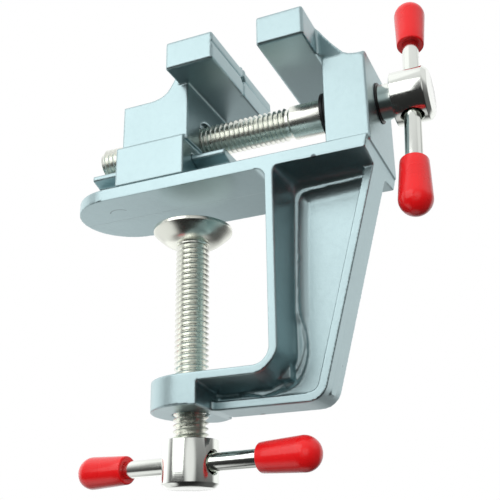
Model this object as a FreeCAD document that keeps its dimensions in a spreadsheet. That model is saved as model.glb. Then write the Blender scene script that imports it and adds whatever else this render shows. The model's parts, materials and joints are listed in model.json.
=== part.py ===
# Clamp-on bench vise: die-cast C-frame with fixed jaw, movable jaw on a T-rail,
# vise screw, clamp screw with swivel pad, and sliding handle bars with end caps.
#
# Frame: X runs along the vise screw towards its handle, Y across the bed, Z up.
# Origin: on the underside of the bed (the face that sits on the bench), on the
# axis of the clamp screw. All lengths are in millimetres, angles in degrees.

import FreeCAD, Part
import math
import os
import Sketcher
from FreeCAD import Rotation, Vector

DRIVING_SIZES = {
    # bed of the frame casting
    "bed_width": 24.0,
    "bed_thickness": 3.0,
    "bed_reach": 30.0,          # round end of the bed beyond the clamp screw axis
    "bed_end": 45.9,            # other end of the bed, at its underside
    "end_lean": 16.5,           # lean of the frame's outer face from the vertical
    # throat of the C, its flange and the lower arm
    "throat_reach": 23.4,
    "throat_height": 43.3,
    "throat_radius": 5.7,
    "bed_root_radius": 2.4,
    "flange_edge": 1.9,         # thickness of the throat flange along its free edges
    "flange_draft": 5.0,
    "arm_height": 6.7,
    "arm_nose": 8.4,            # round nose of the arm beyond the clamp screw axis
    "boss_back": 7.2,
    "rim_width": 9.4,
    "rim_wall": 2.0,
    "rim_radius": 4.5,
    "recess_radius": 2.5,
    "recess_draft": 2.0,
    "web_thickness": 3.0,
    "corner_pad_height": 0.9,
    "corner_pad_reach": 1.1,    # how far the pad stands out beyond the flange's root
    "corner_pad_rise": 9.9,     # how far it runs up the flange
    # jaws
    "jaw_width": 36.0,
    "jaw_top": 34.6,
    "jaw_height": 7.3,
    "jaw_gap": 10.9,            # how far the jaws stand open in this pose
    "jaw_edge": 0.4,
    "fixed_grip_face": 24.5,
    "fixed_jaw_depth": 11.2,
    "moving_jaw_depth": 12.1,
    "groove_width": 2.0,
    "groove_below_top": 2.9,
    # post of the fixed jaw
    "post_left": 37.3,
    "post_right": 47.1,
    "post_width": 22.0,
    "post_top": 24.4,
    "post_corner": 1.6,
    "buttress_width": 18.0,
    "buttress_run": 6.8,
    "buttress_below_top": 1.6,
    "buttress_radius": 9.5,
    # post and foot of the movable jaw, measured back from its grip face
    "moving_post_setback": 9.7,
    "moving_post_depth": 17.5,
    "moving_post_top": 24.5,
    "moving_buttress_run": 5.1,
    "moving_buttress_below_top": 3.9,
    "moving_buttress_radius": 6.0,
    "foot_setback": 10.5,
    "foot_length": 18.1,
    "foot_width": 23.4,
    "foot_top": 13.2,
    # T-rail on the bed
    "rail_start": 24.5,         # left end, beyond the clamp screw axis
    "rail_finish": 11.5,
    "rail_width": 14.0,
    "rail_neck": 8.0,
    "rail_top": 10.0,
    "rail_lip": 1.4,
    "rail_undercut": 1.0,
    "rail_edge": 0.5,
    "rail_clearance": 0.15,
    # screws
    "screw_height": 16.3,
    "screw_diameter": 7.8,
    "screw_clearance": 0.1,     # radial, in the tapped bores
    "bore_mouth_diameter": 9.8,  # counterbore of the movable jaw, at its grip side
    "bore_mouth_depth": 1.5,
    "thread_left_end": 25.0,    # free end of the vise screw, beyond the origin
    "thread_right_end": 25.0,
    "relief_length": 1.0,
    "relief_diameter": 6.8,
    "collar_diameter": 8.0,
    "journal_diameter": 6.6,
    "journal_clearance": 0.1,   # radial, in the post and the washers
    "end_float": 0.05,          # axial running gap at the post and at the pad
    # washers on both sides of the post
    "steel_washer_diameter": 11.4,
    "steel_washer_thickness": 0.8,
    "friction_washer_diameter": 10.8,
    "friction_washer_thickness": 2.3,
    "outer_washer_diameter": 10.0,
    "outer_washer_thickness": 0.6,
    # screw heads, pressed on the screws and drilled across
    "head_diameter": 12.3,
    "head_chamfer": 0.9,
    "neck_diameter": 8.3,
    "neck_length": 2.9,
    "vise_head_length": 8.2,
    "clamp_head_length": 10.0,
    "press_wall": 0.5,          # metal between the pressed end of a screw and the cross hole
    "vise_bar_setback": 3.9,    # cross hole from the inner face of the vise head
    "clamp_bar_setback": 4.9,   # cross hole from the top face of the clamp head
    "bar_hole_clearance": 0.25,  # radial
    # handle bars and caps
    "bar_diameter": 3.8,
    "bar_half_length": 26.0,
    "cap_start": 17.7,          # open end of a cap from the middle of the bar
    "cap_length": 10.0,         # sleeve, up to the dome
    "cap_diameter": 7.0,
    "vise_bar_slip": 1.35,      # how far this bar has slid down in its head
    "vise_bar_turn": 14.2,
    "clamp_bar_slip": 0.2,
    "clamp_bar_turn": 9.0,
    # clamp screw and its pad
    "pad_gap": 6.3,             # from the bed's underside down to the pad
    "pad_diameter": 18.6,
    "pad_rim": 0.7,
    "pad_cone": 3.0,
    "pad_hub_height": 0.8,
    "pad_hub_diameter": 8.0,
    "pad_recess_diameter": 8.4,
    "pad_recess_depth": 1.3,
    "spigot_diameter": 5.0,
    "spigot_clearance": 0.1,
    "rivet_diameter": 7.0,      # peened end of the spigot, in the pad's recess
    "rivet_height": 0.6,
    "clamp_rod_length": 44.65,  # from under the pad to the top of the head
}

os.makedirs("parts", exist_ok=True)
document = FreeCAD.newDocument("bench_vise")
sheet = document.addObject("Spreadsheet::Sheet", "Sizes")
for row, (alias, number) in enumerate(DRIVING_SIZES.items(), start=1):
    sheet.set("A%d" % row, alias)
    sheet.set("B%d" % row, str(number))
    sheet.setAlias("B%d" % row, alias)
document.recompute()


class Quantity:
    """A number and the spreadsheet expression that it comes from."""

    def __init__(self, number, text):
        self.number = number
        self.text = text

    def join(self, other, sign, result):
        return Quantity(result, "(%s %s %s)" % (self.text, sign, as_quantity(other).text))

    def __add__(self, other):
        return self.join(other, "+", self.number + as_quantity(other).number)

    def __sub__(self, other):
        return self.join(other, "-", self.number - as_quantity(other).number)

    def __mul__(self, other):
        return self.join(other, "*", self.number * as_quantity(other).number)

    def __truediv__(self, other):
        return self.join(other, "/", self.number / as_quantity(other).number)

    def __neg__(self):
        return Quantity(-self.number, "(-1 * %s)" % self.text)


def as_quantity(value):
    if isinstance(value, Quantity):
        return value
    return Quantity(float(value), repr(float(value)))


def sine(angle):
    """Sine of an angle that the sheet gives in degrees."""
    return Quantity(math.sin(math.radians(angle.number)), "sin(%s * 1deg)" % angle.text)


def cosine(angle):
    return Quantity(math.cos(math.radians(angle.number)), "cos(%s * 1deg)" % angle.text)


class Sizes:
    """The sheet's cells as quantities: size.bed_width and so on."""

    def __getattr__(self, alias):
        return Quantity(float(getattr(sheet, alias)), "Sizes." + alias)


size = Sizes()
ZERO = as_quantity(0.0)
OVERLAP = as_quantity(1.0)      # how far joined features reach into each other
DOME_STEPS = 3                  # conical steps that make up the round end of a cap
QUARTER_TURN = 90.0
LENGTHWISE = Vector(1, 0, 0)
ACROSS = Vector(0, 1, 0)
UPRIGHT = Vector(0, 0, 1)


# ---------------------------------------------------------------- tools for bodies

def bind(target, path, quantity):
    target.setExpression(path, as_quantity(quantity).text)


def new_body(label):
    body = document.addObject("PartDesign::Body", label)
    body.Label = label
    return body


def plane_of(body, role):
    for feature in body.Origin.OriginFeatures:
        if feature.Role == role:
            return feature
    raise RuntimeError("no plane " + role)


def new_sketch(body, name, role, offset=None):
    """A sketch on one of the body's own origin planes, shifted along its normal."""
    sketch = body.newObject("Sketcher::SketchObject", name)
    sketch.AttachmentSupport = [(plane_of(body, role), "")]
    sketch.MapMode = "FlatFace"
    if offset is not None:
        bind(sketch, ".AttachmentOffset.Base.z", offset)
    return sketch


def pin_point(sketch, geometry, position, across, along):
    """Hold a point of a sketch at two quantities measured from its origin."""
    for kind, axis, quantity in (("DistanceX", -2, across), ("DistanceY", -1, along)):
        if quantity.text == ZERO.text:
            sketch.addConstraint(Sketcher.Constraint("PointOnObject", geometry, position, axis))
            continue
        index = sketch.addConstraint(
            Sketcher.Constraint(kind, -1, 1, geometry, position, quantity.number))
        sketch.setExpression("Constraints[%d]" % index, quantity.text)


def arc_between(start, finish, radius):
    """Arc from start to finish; its centre is on the left if radius is positive."""
    chord = finish - start
    middle = (start + finish) * 0.5
    half = chord.Length / 2
    rise = math.sqrt(max(radius * radius - half * half, 0.0))
    left = Vector(-chord.y, chord.x, 0).normalize()
    centre = middle + left * math.copysign(rise, radius)
    first, last = (start, finish) if radius > 0 else (finish, start)
    angles = [math.atan2(point.y - centre.y, point.x - centre.x) for point in (first, last)]
    if angles[1] < angles[0]:
        angles[1] += 2 * math.pi
    circle = Part.Circle(centre, Vector(0, 0, 1), abs(radius))
    return Part.ArcOfCircle(circle, angles[0], angles[1])


def draw_outline(sketch, corners):
    """A closed outline. A corner is (across, along), or (across, along, radius)
    where an arc of that radius leads on to the next corner."""
    corners = [tuple(as_quantity(entry) for entry in corner) for corner in corners]
    points = [Vector(corner[0].number, corner[1].number, 0) for corner in corners]
    count = len(corners)
    ends = []
    for index, corner in enumerate(corners):
        start, finish = points[index], points[(index + 1) % count]
        if len(corner) == 2:
            geometry = sketch.addGeometry(Part.LineSegment(start, finish), False)
            ends.append((geometry, 1, 2))
            continue
        radius = corner[2]
        geometry = sketch.addGeometry(arc_between(start, finish, radius.number), False)
        ends.append((geometry, 1, 2) if radius.number > 0 else (geometry, 2, 1))
    for index in range(count):
        geometry, first, last = ends[index]
        following = ends[(index + 1) % count]
        sketch.addConstraint(
            Sketcher.Constraint("Coincident", geometry, last, following[0], following[1]))
    for index, corner in enumerate(corners):
        geometry, first, last = ends[index]
        pin_point(sketch, geometry, first, corner[0], corner[1])
        if len(corner) == 3:
            radius = corner[2] if corner[2].number > 0 else -corner[2]
            place = sketch.addConstraint(
                Sketcher.Constraint("Radius", geometry, radius.number))
            sketch.setExpression("Constraints[%d]" % place, radius.text)


def draw_rectangle(sketch, left, right, bottom, top):
    draw_outline(sketch, [(left, bottom), (right, bottom), (right, top), (left, top)])


def draw_circle(sketch, across, along, diameter):
    circle = Part.Circle(Vector(across.number, along.number, 0), Vector(0, 0, 1),
                         diameter.number / 2)
    geometry = sketch.addGeometry(circle, False)
    pin_point(sketch, geometry, 3, across, along)
    index = sketch.addConstraint(Sketcher.Constraint("Diameter", geometry, diameter.number))
    sketch.setExpression("Constraints[%d]" % index, diameter.text)


def draw_round_nose(sketch, nose, back, width):
    """A plate outline: half round at the nose on the left, square at the back."""
    radius = width / 2
    centre = nose + radius
    draw_outline(sketch, [
        (nose, ZERO, radius),
        (centre, -radius),
        (back, -radius),
        (back, radius),
        (centre, radius, radius),
    ])


def finish_feature(body, feature, name):
    """Recompute and make sure that the feature has made a sound solid."""
    document.recompute()
    if "Invalid" in feature.State or "Error" in feature.State:
        raise RuntimeError("feature %s of %s failed" % (name, body.Label))
    if feature.Shape.isNull() or not feature.Shape.isValid():
        raise RuntimeError("feature %s of %s has a bad shape" % (name, body.Label))
    return feature


def extrude(body, name, sketch, length, midplane=False, backwards=False):
    feature = body.newObject("PartDesign::Pad", name)
    feature.Profile = sketch
    feature.Midplane = midplane
    feature.Reversed = backwards
    bind(feature, "Length", length)
    return finish_feature(body, feature, name)


def extrude_drafted(body, name, sketch, width, draft):
    """Extrude to both sides of the sketch, thinning outwards by the draft angle."""
    feature = body.newObject("PartDesign::Pad", name)
    feature.Profile = sketch
    feature.SideType = "Two sides"
    bind(feature, "Length", width / 2)
    bind(feature, "Length2", width / 2)
    bind(feature, "TaperAngle", -draft)
    bind(feature, "TaperAngle2", -draft)
    return finish_feature(body, feature, name)


def cut(body, name, sketch, length, midplane=False, backwards=False, draft=None):
    """Cut to a depth; it must take some metal away."""
    before = body.Tip.Shape.Volume
    feature = body.newObject("PartDesign::Pocket", name)
    feature.Profile = sketch
    feature.Midplane = midplane
    feature.Reversed = backwards
    bind(feature, "Length", length)
    if draft is not None:
        bind(feature, "TaperAngle", -draft)
    finish_feature(body, feature, name)
    if feature.Shape.Volume > before - 1e-6:
        raise RuntimeError("cut %s of %s takes nothing" % (name, body.Label))
    return feature


def turn(body, name, sketch, axis):
    """Revolve a profile about the sketch's own H_Axis or V_Axis."""
    feature = body.newObject("PartDesign::Revolution", name)
    feature.Profile = sketch
    feature.ReferenceAxis = (sketch, [axis])
    feature.Angle = 360.0
    return finish_feature(body, feature, name)


def dress_edges(body, kind, name, amount, wanted):
    """Fillet or chamfer the edges of the body that pass the test."""
    base = body.Tip
    names = []
    for index, edge in enumerate(base.Shape.Edges, start=1):
        if wanted(edge, edge.valueAt((edge.FirstParameter + edge.LastParameter) / 2)):
            names.append("Edge%d" % index)
    if not names:
        raise RuntimeError("no edges for %s of %s" % (name, body.Label))
    feature = body.newObject("PartDesign::" + kind, name)
    feature.Base = (base, names)
    bind(feature, "Radius" if kind == "Fillet" else "Size", amount)
    return finish_feature(body, feature, name)


def near(value, quantity, reach=0.01):
    return abs(value - as_quantity(quantity).number) < reach


def runs_along(edge, axis):
    """Whether an edge runs along an axis, give or take a few degrees of draft."""
    chord = edge.valueAt(edge.LastParameter) - edge.valueAt(edge.FirstParameter)
    return chord.Length > 0 and abs(chord.dot(axis)) > 0.99 * chord.Length


def place_body(body, across, depth, height, axis, angle):
    """Move a body modelled on its own axis to its place and turn it there."""
    body.Placement.Rotation = Rotation(axis, angle)
    bind(body, ".Placement.Base.x", across)
    bind(body, ".Placement.Base.y", depth)
    bind(body, ".Placement.Base.z", height)


# ---------------------------------------------------------------- shared derived sizes

half_bed = size.bed_width / 2
half_jaw = size.jaw_width / 2
lean = sine(size.end_lean) / cosine(size.end_lean)
arm_top = -size.throat_height
arm_bottom = arm_top - size.arm_height
corner_x = size.throat_reach - size.throat_radius
corner_z = arm_top + size.throat_radius
flange_root = size.flange_edge + half_bed * sine(size.flange_draft) / cosine(size.flange_draft)
jaw_underside = size.jaw_top - size.jaw_height
moving_grip_face = size.fixed_grip_face - size.jaw_gap
thread_bore = size.screw_diameter + size.screw_clearance * 2
journal_bore = size.journal_diameter + size.journal_clearance * 2
bar_hole = size.bar_diameter + size.bar_hole_clearance * 2
washer_stack = size.friction_washer_thickness + size.steel_washer_thickness
collar_end = size.post_left - washer_stack - size.end_float
neck_start = size.post_right + size.outer_washer_thickness + size.end_float
vise_head_start = neck_start + size.neck_length
vise_bar_place = vise_head_start + size.vise_bar_setback
pad_top = -size.pad_gap
pad_bottom = pad_top - size.pad_rim - size.pad_cone - size.pad_hub_height
clamp_rod_top = pad_bottom - size.end_float
clamp_head_top = clamp_rod_top - size.clamp_rod_length
clamp_bar_place = clamp_head_top - size.clamp_bar_setback
vise_press_end = vise_bar_place - bar_hole / 2 - size.press_wall
clamp_press_end = clamp_bar_place + bar_hole / 2 + size.press_wall


def lean_at(height):
    """X of the frame's leaning outer face at a height."""
    return size.bed_end + lean * height


# ---------------------------------------------------------------- frame casting

def make_frame_casting():
    body = new_body("frame_casting")
    add_bed_and_core(body)
    add_throat_flange(body)
    add_corner_pads(body)
    add_boss(body)
    add_rail(body)
    add_fixed_jaw(body)
    cut_frame_bores(body)
    return body


def add_bed_and_core(body):
    """Bed plate, then the narrow rim and web below it with drafted recesses."""
    sketch = new_sketch(body, "bed_outline", "XY_Plane")
    draw_round_nose(sketch, -size.bed_reach, size.post_right, size.bed_width)
    extrude(body, "bed", sketch, size.bed_thickness)

    joint = size.bed_thickness / 2
    sketch = new_sketch(body, "core_outline", "XZ_Plane")
    draw_outline(sketch, [
        (size.throat_reach, joint),
        (size.throat_reach, arm_top),
        (ZERO, arm_top),
        (ZERO, arm_bottom),
        (lean_at(arm_bottom), arm_bottom),
        (lean_at(joint), joint),
    ])
    extrude(body, "core", sketch, size.rim_width, midplane=True)
    dress_edges(body, "Fillet", "rim_corner", size.rim_radius,
                lambda edge, middle: runs_along(edge, ACROSS)
                and near(middle.x, lean_at(arm_bottom)) and near(middle.z, arm_bottom))

    recess_depth = (size.rim_width - size.web_thickness) / 2
    inner = size.throat_reach + size.flange_edge
    low = arm_bottom + size.rim_wall
    wall_run = size.rim_wall / cosine(size.end_lean)
    for side, sign in (("near", 1), ("far", -1)):
        sketch = new_sketch(body, side + "_recess_outline", "XZ_Plane",
                            size.rim_width / 2 * sign)
        draw_outline(sketch, [
            (inner, ZERO),
            (inner, arm_top - size.flange_edge),
            (size.boss_back - OVERLAP, arm_top - size.flange_edge),
            (size.boss_back - OVERLAP, low),
            (lean_at(low) - wall_run, low),
            (lean_at(ZERO) - wall_run, ZERO),
        ])
        cut(body, side + "_recess", sketch, recess_depth, backwards=(sign < 0),
            draft=size.recess_draft)
    dress_edges(body, "Fillet", "recess_corners", size.recess_radius,
                lambda edge, middle: runs_along(edge, ACROSS)
                and near(middle.x, lean_at(low) - wall_run, 1) and near(middle.z, low, 1))


def add_throat_flange(body):
    """Flange along the throat and the top of the arm. It is drafted, so that it is
    thicker at its root, and its throat side is then cut flat."""
    stock = size.throat_radius
    sketch = new_sketch(body, "flange_outline", "XZ_Plane")
    draw_outline(sketch, [
        (size.throat_reach - stock, size.bed_thickness),
        (size.throat_reach - stock, corner_z),
        (corner_x - stock, arm_top + stock),
        (ZERO, arm_top + stock),
        (ZERO, arm_top - flange_root),
        (corner_x, arm_top - flange_root, size.throat_radius + flange_root),
        (size.throat_reach + flange_root, corner_z),
        (size.throat_reach + flange_root, size.bed_thickness),
    ])
    extrude_drafted(body, "flange", sketch, size.bed_width, size.flange_draft)

    root = size.bed_root_radius
    sketch = new_sketch(body, "throat_outline", "XZ_Plane")
    draw_outline(sketch, [
        (-size.bed_reach, ZERO),
        (-size.bed_reach, arm_top),
        (corner_x, arm_top, size.throat_radius),
        (size.throat_reach, corner_z),
        (size.throat_reach, -root, root),
        (size.throat_reach - root, ZERO),
    ])
    cut(body, "throat", sketch, size.bed_width + OVERLAP, midplane=True)


def add_corner_pads(body):
    """Thicker places of the web round the inner corner of each recess."""
    outer = size.throat_radius + flange_root + size.corner_pad_reach
    thickness = size.web_thickness + size.corner_pad_height * 2
    sketch = new_sketch(body, "corner_pad_outline", "XZ_Plane")
    draw_outline(sketch, [
        (size.throat_reach + OVERLAP, corner_z + size.corner_pad_rise),
        (size.throat_reach + flange_root, corner_z + size.corner_pad_rise),
        (corner_x + outer, corner_z, -outer),
        (corner_x, corner_z - outer),
        (corner_x - size.corner_pad_rise / 2, arm_top - flange_root),
        (corner_x - size.corner_pad_rise / 2, arm_top - OVERLAP),
        (corner_x, arm_top - OVERLAP, size.throat_radius + OVERLAP),
        (size.throat_reach + OVERLAP, corner_z),
    ])
    extrude(body, "corner_pads", sketch, thickness, midplane=True)


def add_boss(body):
    """Full-width boss for the clamp screw, round like the end of the bed."""
    sketch = new_sketch(body, "boss_outline", "XY_Plane", arm_bottom)
    draw_round_nose(sketch, -size.arm_nose, size.boss_back, size.bed_width)
    extrude(body, "boss", sketch, size.arm_height)


def draw_rail(sketch, foot, gap=ZERO):
    """Section of the T-rail, grown by a gap for the slot that runs on it."""
    half_head = size.rail_width / 2 + gap
    half_neck = size.rail_neck / 2 + gap
    lip = size.rail_top - size.rail_lip - gap
    under = lip - size.rail_undercut
    draw_outline(sketch, [
        (-half_neck, foot),
        (half_neck, foot),
        (half_neck, under),
        (half_head, lip),
        (half_head, size.rail_top + gap),
        (-half_head, size.rail_top + gap),
        (-half_head, lip),
        (-half_neck, under),
    ])


def add_rail(body):
    sketch = new_sketch(body, "rail_outline", "YZ_Plane", -size.rail_start)
    draw_rail(sketch, size.bed_thickness / 2)
    extrude(body, "rail", sketch, size.rail_start + size.rail_finish)
    dress_edges(body, "Fillet", "rail_edges", size.rail_edge,
                lambda edge, middle: runs_along(edge, LENGTHWISE)
                and near(abs(middle.y), size.rail_width / 2))


def add_fixed_jaw(body):
    """Post, curved buttress and bar of the fixed jaw."""
    half_post = size.post_width / 2
    sketch = new_sketch(body, "post_outline", "XY_Plane")
    draw_rectangle(sketch, size.post_left, size.post_right, -half_post, half_post)
    extrude(body, "post", sketch, size.post_top)
    dress_edges(body, "Fillet", "post_corners", size.post_corner,
                lambda edge, middle: near(abs(middle.y), half_post)
                and middle.z > size.bed_thickness.number
                and (runs_along(edge, UPRIGHT) or near(middle.z, size.post_top)))

    bar_back = size.fixed_grip_face + size.fixed_jaw_depth
    sketch = new_sketch(body, "buttress_outline", "XZ_Plane")
    draw_outline(sketch, [
        (bar_back - OVERLAP, jaw_underside),
        (size.post_left, jaw_underside),
        (size.post_left, size.post_top - OVERLAP),
        (bar_back + size.buttress_run, size.post_top - OVERLAP),
        (bar_back + size.buttress_run, size.post_top, -size.buttress_radius),
        (bar_back, size.jaw_top - size.buttress_below_top),
        (bar_back - OVERLAP, size.jaw_top - size.buttress_below_top),
    ])
    extrude(body, "buttress", sketch, size.buttress_width, midplane=True)
    add_jaw_bar(body, size.fixed_grip_face, bar_back)

    sketch = new_sketch(body, "end_trim_outline", "XZ_Plane")
    draw_outline(sketch, [
        (size.bed_end, ZERO),
        (size.post_right + OVERLAP, ZERO),
        (size.post_right + OVERLAP, (size.post_right - size.bed_end) / lean),
        (size.post_right, (size.post_right - size.bed_end) / lean),
    ])
    cut(body, "end_trim", sketch, size.bed_width + OVERLAP, midplane=True)


def add_jaw_bar(body, left, right):
    """Wide bar on top of a jaw, with its end faces and long top edges softened."""
    sketch = new_sketch(body, "jaw_outline", "XZ_Plane")
    draw_rectangle(sketch, left, right, jaw_underside, size.jaw_top)
    extrude(body, "jaw", sketch, size.jaw_width, midplane=True)
    dress_edges(body, "Chamfer", "jaw_edges", size.jaw_edge,
                lambda edge, middle: near(abs(middle.y), half_jaw)
                or (runs_along(edge, ACROSS) and near(middle.z, size.jaw_top)))


def cut_frame_bores(body):
    sketch = new_sketch(body, "journal_bore_outline", "YZ_Plane", size.post_right)
    draw_circle(sketch, ZERO, size.screw_height, journal_bore)
    cut(body, "journal_bore", sketch, size.post_right - size.post_left)
    sketch = new_sketch(body, "clamp_bore_outline", "XY_Plane", arm_top)
    draw_circle(sketch, ZERO, ZERO, thread_bore)
    cut(body, "clamp_bore", sketch, size.arm_height)


# ---------------------------------------------------------------- movable jaw

def make_movable_jaw():
    body = new_body("movable_jaw")
    half_foot = size.foot_width / 2
    half_post = size.post_width / 2
    bar_back = moving_grip_face - size.moving_jaw_depth
    foot_right = moving_grip_face - size.foot_setback
    foot_left = foot_right - size.foot_length
    foot_bottom = size.bed_thickness + size.rail_clearance
    post_right = moving_grip_face - size.moving_post_setback
    post_left = post_right - size.moving_post_depth

    sketch = new_sketch(body, "foot_outline", "XY_Plane", foot_bottom)
    draw_rectangle(sketch, foot_left, foot_right, -half_foot, half_foot)
    extrude(body, "foot", sketch, size.foot_top - foot_bottom)

    # post and the curved buttress that carries the bar, in one profile
    sketch = new_sketch(body, "post_outline", "XZ_Plane")
    draw_outline(sketch, [
        (post_left, size.foot_top - OVERLAP),
        (post_right, size.foot_top - OVERLAP),
        (post_right, jaw_underside),
        (bar_back + OVERLAP, jaw_underside),
        (bar_back + OVERLAP, size.jaw_top - size.moving_buttress_below_top),
        (bar_back, size.jaw_top - size.moving_buttress_below_top,
         -size.moving_buttress_radius),
        (bar_back - size.moving_buttress_run, size.moving_post_top),
        (post_left, size.moving_post_top),
    ])
    extrude(body, "post", sketch, size.post_width, midplane=True)
    dress_edges(body, "Fillet", "post_corners", size.post_corner,
                lambda edge, middle: near(abs(middle.y), half_post)
                and near(middle.x, post_left) and runs_along(edge, UPRIGHT))
    add_jaw_bar(body, bar_back, moving_grip_face)

    sketch = new_sketch(body, "slot_outline", "YZ_Plane", foot_right)
    draw_rail(sketch, size.bed_thickness, size.rail_clearance)
    cut(body, "slot", sketch, size.foot_length)

    sketch = new_sketch(body, "bore_outline", "YZ_Plane", post_right)
    draw_circle(sketch, ZERO, size.screw_height, thread_bore)
    cut(body, "bore", sketch, size.moving_post_depth + size.foot_length)
    sketch = new_sketch(body, "bore_mouth_outline", "YZ_Plane", post_right)
    draw_circle(sketch, ZERO, size.screw_height, size.bore_mouth_diameter)
    cut(body, "bore_mouth", sketch, size.bore_mouth_depth)
    cut_grip_grooves(body)
    return body


def cut_grip_grooves(body):
    """V-grooves in the grip face, one level and one upright, for round stock."""
    half_groove = size.groove_width / 2
    level = size.jaw_top - size.groove_below_top
    sketch = new_sketch(body, "level_groove_outline", "XZ_Plane")
    draw_outline(sketch, [
        (moving_grip_face, level - half_groove),
        (moving_grip_face, level + half_groove),
        (moving_grip_face - half_groove, level),
    ])
    cut(body, "level_groove", sketch, size.jaw_width + OVERLAP, midplane=True)
    sketch = new_sketch(body, "upright_groove_outline", "XY_Plane", size.jaw_top)
    draw_outline(sketch, [
        (moving_grip_face, -half_groove),
        (moving_grip_face, half_groove),
        (moving_grip_face - half_groove, ZERO),
    ])
    cut(body, "upright_groove", sketch, size.jaw_height)


# ---------------------------------------------------------------- vise screw

def make_vise_screw():
    """Thread, relief, plain collar, and a journal that ends in the head."""
    body = new_body("vise_screw")
    thread = size.screw_diameter / 2
    relief = size.relief_diameter / 2
    collar = size.collar_diameter / 2
    journal = size.journal_diameter / 2
    relief_end = size.thread_right_end + size.relief_length
    sketch = new_sketch(body, "profile", "XZ_Plane")
    draw_outline(sketch, [
        (-size.thread_left_end, ZERO),
        (-size.thread_left_end, thread),
        (size.thread_right_end, thread),
        (size.thread_right_end, relief),
        (relief_end, relief),
        (relief_end, collar),
        (collar_end, collar),
        (collar_end, journal),
        (vise_press_end, journal),
        (vise_press_end, ZERO),
    ])
    turn(body, "turned", sketch, "H_Axis")
    bind(body, ".Placement.Base.z", size.screw_height)
    return body


def make_vise_screw_head():
    """Pressed on the journal; its neck bears on the outer washer. It is modelled along
    its own X axis, and the cross hole runs along its own Z axis."""
    body = new_body("vise_screw_head")
    radius = size.head_diameter / 2
    neck = size.neck_diameter / 2
    seat = size.journal_diameter / 2
    end = vise_head_start + size.vise_head_length
    sketch = new_sketch(body, "profile", "XZ_Plane")
    draw_outline(sketch, [
        (neck_start, seat),
        (neck_start, neck),
        (vise_head_start, neck),
        (vise_head_start, radius),
        (end - size.head_chamfer, radius),
        (end, radius - size.head_chamfer),
        (end, ZERO),
        (vise_press_end, ZERO),
        (vise_press_end, seat),
    ])
    turn(body, "turned", sketch, "H_Axis")
    sketch = new_sketch(body, "cross_hole_outline", "XY_Plane")
    draw_circle(sketch, vise_bar_place, ZERO, bar_hole)
    cut(body, "cross_hole", sketch, size.head_diameter + OVERLAP, midplane=True)
    place_body(body, ZERO, ZERO, size.screw_height, Vector(-1, 0, 0), size.vise_bar_turn.number)
    return body


def make_washer(label, diameter, left, thickness):
    """Washer round the vise screw's journal, against a side of the post."""
    body = new_body(label)
    sketch = new_sketch(body, "outline", "YZ_Plane", left)
    draw_circle(sketch, ZERO, size.screw_height, diameter)
    draw_circle(sketch, ZERO, size.screw_height, journal_bore)
    extrude(body, "blank", sketch, thickness)
    return body


def make_washers():
    friction_left = size.post_left - size.friction_washer_thickness
    return [
        make_washer("friction_washer", size.friction_washer_diameter, friction_left,
                    size.friction_washer_thickness),
        make_washer("steel_washer", size.steel_washer_diameter,
                    friction_left - size.steel_washer_thickness,
                    size.steel_washer_thickness),
        make_washer("outer_washer", size.outer_washer_diameter, size.post_right,
                    size.outer_washer_thickness),
    ]


# ---------------------------------------------------------------- clamp screw and pad

def make_clamp_screw():
    """Its spigot passes through the pad and is peened over in the pad's recess."""
    body = new_body("clamp_screw")
    thread = size.screw_diameter / 2
    spigot = size.spigot_diameter / 2
    seat = size.journal_diameter / 2
    rivet_bottom = pad_top - size.pad_recess_depth + size.end_float
    sketch = new_sketch(body, "profile", "XZ_Plane")
    draw_outline(sketch, [
        (ZERO, clamp_press_end),
        (seat, clamp_press_end),
        (seat, clamp_head_top),
        (thread, clamp_head_top),
        (thread, clamp_rod_top),
        (spigot, clamp_rod_top),
        (spigot, rivet_bottom),
        (size.rivet_diameter / 2, rivet_bottom),
        (size.rivet_diameter / 2, rivet_bottom + size.rivet_height),
        (ZERO, rivet_bottom + size.rivet_height),
    ])
    turn(body, "turned", sketch, "V_Axis")
    return body


def make_clamp_screw_head():
    """Pressed on the lower end of the clamp screw, with a level cross hole."""
    body = new_body("clamp_screw_head")
    radius = size.head_diameter / 2
    seat = size.journal_diameter / 2
    bottom = clamp_head_top - size.clamp_head_length
    sketch = new_sketch(body, "profile", "XZ_Plane")
    draw_outline(sketch, [
        (ZERO, bottom),
        (radius - size.head_chamfer, bottom),
        (radius, bottom + size.head_chamfer),
        (radius, clamp_head_top),
        (seat, clamp_head_top),
        (seat, clamp_press_end),
        (ZERO, clamp_press_end),
    ])
    turn(body, "turned", sketch, "V_Axis")
    sketch = new_sketch(body, "cross_hole_outline", "YZ_Plane")
    draw_circle(sketch, ZERO, clamp_bar_place, bar_hole)
    cut(body, "cross_hole", sketch, size.head_diameter + OVERLAP, midplane=True)
    place_body(body, ZERO, ZERO, ZERO, Vector(0, 0, -1), size.clamp_bar_turn.number)
    return body


def make_clamp_pad():
    """Turned swivel pad: flat face, thin rim, cone and a short hub."""
    body = new_body("clamp_pad")
    hole = size.spigot_diameter / 2 + size.spigot_clearance
    rim_bottom = pad_top - size.pad_rim
    cone_bottom = rim_bottom - size.pad_cone
    recess_floor = pad_top - size.pad_recess_depth
    sketch = new_sketch(body, "profile", "XZ_Plane")
    draw_outline(sketch, [
        (hole, pad_bottom),
        (size.pad_hub_diameter / 2, pad_bottom),
        (size.pad_hub_diameter / 2, cone_bottom),
        (size.pad_diameter / 2, rim_bottom),
        (size.pad_diameter / 2, pad_top),
        (size.pad_recess_diameter / 2, pad_top),
        (size.pad_recess_diameter / 2, recess_floor),
        (hole, recess_floor),
    ])
    turn(body, "turned", sketch, "V_Axis")
    return body


# ---------------------------------------------------------------- handle bars and caps

def draw_bar(body):
    sketch = new_sketch(body, "outline", "XY_Plane")
    draw_circle(sketch, ZERO, ZERO, size.bar_diameter)
    extrude(body, "rod", sketch, size.bar_half_length * 2, midplane=True)


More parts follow.
